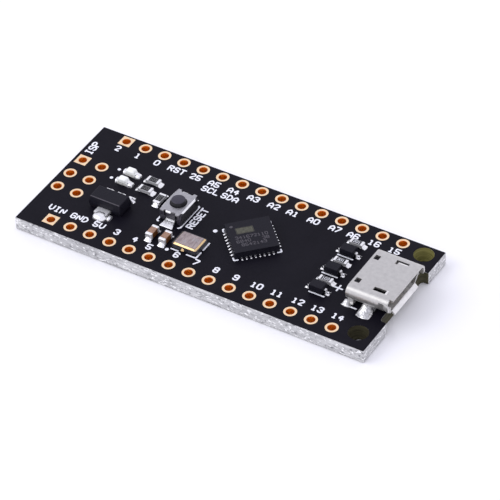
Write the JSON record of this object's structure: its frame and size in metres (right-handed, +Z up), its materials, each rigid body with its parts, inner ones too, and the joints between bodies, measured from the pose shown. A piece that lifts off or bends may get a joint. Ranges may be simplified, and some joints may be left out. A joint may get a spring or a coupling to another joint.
{
  "type": "microcontroller development board",
  "caption": "Small microcontroller board with a USB micro-B receptacle, a reset button, two rows of plated pin holes and a programming header.",
  "frame": {"origin": "middle of the object's footprint, on the board's underside", "axes": "+X towards the USB receptacle along the pin rows, +Y across the board towards the row with the analogue pins, +Z up out of the component side"},
  "size_m": [0.0442, 0.0178, 0.0041],
  "materials": {
    "solder_mask_black": "satin black solder mask on glass-epoxy",
    "shell_steel": "plated stamped steel",
    "black_plastic": "moulded black",
    "moulded_epoxy": "fine matt moulding compound",
    "gold": "gold plate",
    "tin": "bright tin plate",
    "switch_steel": "satin",
    "plunger_plastic": "satin, dark purple-grey",
    "alumina": "sintered alumina",
    "capacitor_ceramic": "fired ceramic",
    "crystal_ceramic": "dark ceramic",
    "crystal_lid": "plated metal",
    "quartz": "polished",
    "led_substrate": "white laminate",
    "led_lens": "milky clear resin"
  },
  "bodies": {
    "board": {"circuit_board": "solder_mask_black", "usb_shell": "shell_steel", "usb_insulator": "black_plastic", "usb_contact_1": "gold", "usb_contact_2": "gold", "usb_contact_3": "gold", "usb_contact_4": "gold", "usb_contact_5": "gold", "switch_base": "black_plastic", "switch_cover": "switch_steel", "switch_dome": "shell_steel", "switch_terminal_near": "tin", "switch_terminal_far": "tin", "regulator_body": "moulded_epoxy", "regulator_tab": "tin", "regulator_lead_in": "tin", "regulator_lead_out": "tin", "mcu_body": "moulded_epoxy", "crystal_base": "crystal_ceramic", "crystal_seal_ring": "gold", "crystal_lid": "crystal_lid", "crystal_blank": "quartz", "resistor_1_body": "alumina", "resistor_1_terminal_a": "tin", "resistor_1_terminal_b": "tin", "resistor_2_body": "alumina", "resistor_2_terminal_a": "tin", "resistor_2_terminal_b": "tin", "resistor_3_body": "alumina", "resistor_3_terminal_a": "tin", "resistor_3_terminal_b": "tin", "resistor_4_body": "alumina", "resistor_4_terminal_a": "tin", "resistor_4_terminal_b": "tin", "resistor_5_body": "alumina", "resistor_5_terminal_a": "tin", "resistor_5_terminal_b": "tin", "resistor_6_body": "alumina", "resistor_6_terminal_a": "tin", "resistor_6_terminal_b": "tin", "capacitor_1_body": "capacitor_ceramic", "capacitor_1_terminal_a": "tin", "capacitor_1_terminal_b": "tin", "capacitor_2_body": "capacitor_ceramic", "capacitor_2_terminal_a": "tin", "capacitor_2_terminal_b": "tin", "diode_1_body": "moulded_epoxy", "diode_1_anode": "tin", "diode_1_cathode": "tin", "diode_2_body": "moulded_epoxy", "diode_2_anode": "tin", "diode_2_cathode": "tin", "diode_3_body": "moulded_epoxy", "diode_3_anode": "tin", "diode_3_cathode": "tin", "led_1_substrate": "led_substrate", "led_1_lens": "led_lens", "led_2_substrate": "led_substrate", "led_2_lens": "led_lens"},
    "button": {"switch_plunger": "plunger_plastic"}
  },
  "joints": [
    {"name": "reset_button", "type": "slide", "parent": "board", "child": "button", "axis": [0, 0, 1], "range_m": [-0.00025, 0], "stiffness_N_per_m": 4000, "deforming": ["switch_dome"]}
  ]
}
